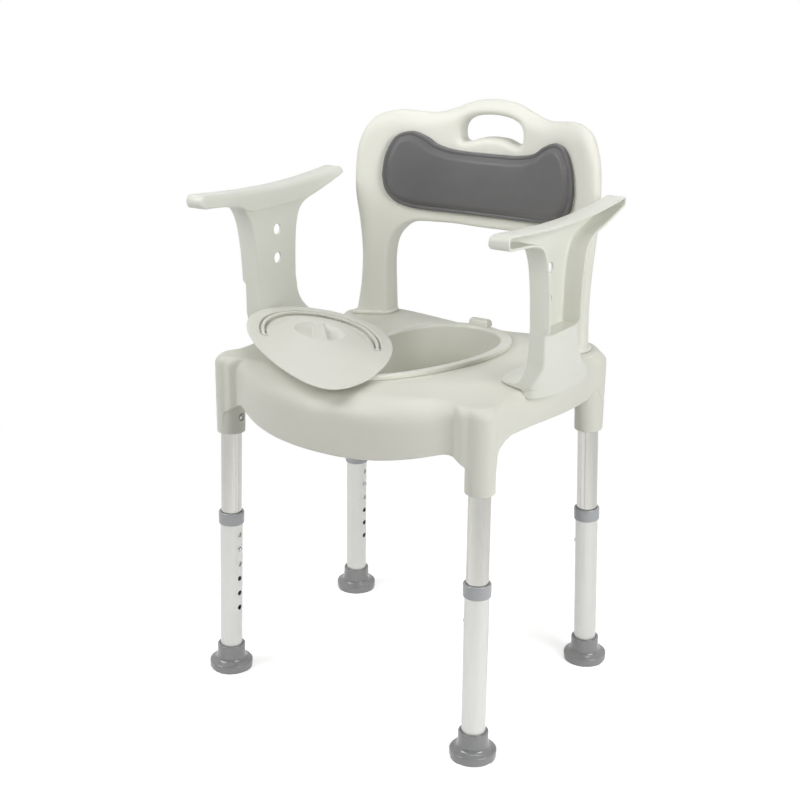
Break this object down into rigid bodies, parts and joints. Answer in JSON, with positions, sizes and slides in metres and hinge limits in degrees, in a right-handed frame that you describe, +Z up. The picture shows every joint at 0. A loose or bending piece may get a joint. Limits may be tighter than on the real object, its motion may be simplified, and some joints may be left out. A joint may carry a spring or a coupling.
{
  "type": "shower commode chair",
  "caption": "Shower commode chair: moulded seat with lift-out pan and lid, padded backrest, armrests, and telescopic legs locked by snap buttons, on wide rubber feet.",
  "frame": {"origin": "on the floor, at the centre of the chair's bounding box", "axes": "+Z up, the chair faces -Y, +X to the sitter's left"},
  "size_m": [0.5392, 0.5046, 0.885],
  "materials": {
    "seat_plastic": "satin moulded polypropylene",
    "back_plastic": "satin blow-moulded plastic",
    "arm_plastic": "satin moulded polypropylene",
    "pan_plastic": "satin moulded polypropylene",
    "lid_plastic": "satin moulded polypropylene",
    "pad_foam": "soft integral-skin foam, fine grain",
    "upper_alloy": "natural anodised",
    "lower_alloy": "pale satin anodised",
    "bright_steel": "bright",
    "spring_steel": "bright",
    "grey_plastic": "matt",
    "grey_rubber": "matt"
  },
  "bodies": {
    "chair": {"seat": "seat_plastic", "upper_tube_fl": "upper_alloy", "upper_tube_fr": "upper_alloy", "upper_tube_rl": "upper_alloy", "upper_tube_rr": "upper_alloy", "socket_screw_fl": "bright_steel", "socket_screw_fr": "bright_steel", "socket_screw_rl": "bright_steel", "socket_screw_rr": "bright_steel", "backrest": "back_plastic", "back_pad": "pad_foam", "armrest_left": "arm_plastic", "armrest_right": "arm_plastic"},
    "leg_fl": {"lower_tube_fl": "lower_alloy", "collar_fl": "grey_plastic", "ferrule_fl": "grey_rubber"},
    "leg_fr": {"lower_tube_fr": "lower_alloy", "collar_fr": "grey_plastic", "ferrule_fr": "grey_rubber"},
    "leg_rl": {"lower_tube_rl": "lower_alloy", "collar_rl": "grey_plastic", "ferrule_rl": "grey_rubber"},
    "leg_rr": {"lower_tube_rr": "lower_alloy", "collar_rr": "grey_plastic", "ferrule_rr": "grey_rubber"},
    "clip_fl": {"clip_fl": "spring_steel"},
    "clip_fr": {"clip_fr": "spring_steel"},
    "clip_rl": {"clip_rl": "spring_steel"},
    "clip_rr": {"clip_rr": "spring_steel"},
    "pan": {"pan": "pan_plastic"},
    "lid": {"lid": "lid_plastic"},
    "lid_handle": {"lid_handle": "lid_plastic"}
  },
  "joints": [
    {"name": "leg_fl_slide", "type": "slide", "parent": "chair", "child": "leg_fl", "axis": [0.0174, 0.0223, 0.9996], "range_m": [-0.025, 0.1], "deforming": ["clip_fl"]},
    {"name": "leg_fr_slide", "type": "slide", "parent": "chair", "child": "leg_fr", "axis": [-0.0174, 0.0223, 0.9996], "range_m": [-0.025, 0.1], "deforming": ["clip_fr"]},
    {"name": "leg_rl_slide", "type": "slide", "parent": "chair", "child": "leg_rl", "axis": [0.027, -0.0323, 0.9991], "range_m": [-0.025, 0.1], "deforming": ["clip_rl"]},
    {"name": "leg_rr_slide", "type": "slide", "parent": "chair", "child": "leg_rr", "axis": [-0.027, -0.0323, 0.9991], "range_m": [-0.025, 0.1], "deforming": ["clip_rr"]},
    {"name": "clip_fl_press", "type": "slide", "parent": "chair", "child": "clip_fl", "axis": [-0.9998, 0, 0.0175], "range_m": [0, 0.0045], "stiffness_N_per_m": 1500, "deforming": ["clip_fl"]},
    {"name": "clip_fr_press", "type": "slide", "parent": "chair", "child": "clip_fr", "axis": [0.9998, 0, 0.0175], "range_m": [0, 0.0045], "stiffness_N_per_m": 1500, "deforming": ["clip_fr"]},
    {"name": "clip_rl_press", "type": "slide", "parent": "chair", "child": "clip_rl", "axis": [-0.9996, 0, 0.027], "range_m": [0, 0.0045], "stiffness_N_per_m": 1500, "deforming": ["clip_rl"]},
    {"name": "clip_rr_press", "type": "slide", "parent": "chair", "child": "clip_rr", "axis": [0.9996, 0, 0.027], "range_m": [0, 0.0045], "stiffness_N_per_m": 1500, "deforming": ["clip_rr"]},
    {"name": "pan_lift", "type": "slide", "parent": "chair", "child": "pan", "axis": [0, 0, 1], "range_m": [0, 0.15]},
    {"name": "lid_lift", "type": "slide", "parent": "pan", "child": "lid", "axis": [0, 0, 1], "range_m": [0, 0.1]},
    {"name": "bail_hinge", "type": "hinge", "parent": "lid", "child": "lid_handle", "pos_m": [-0.09724, -0.10048, 0.54736], "axis": [0.7529, 0.6382, -0.1605], "range_deg": [0, 100]}
  ]
}
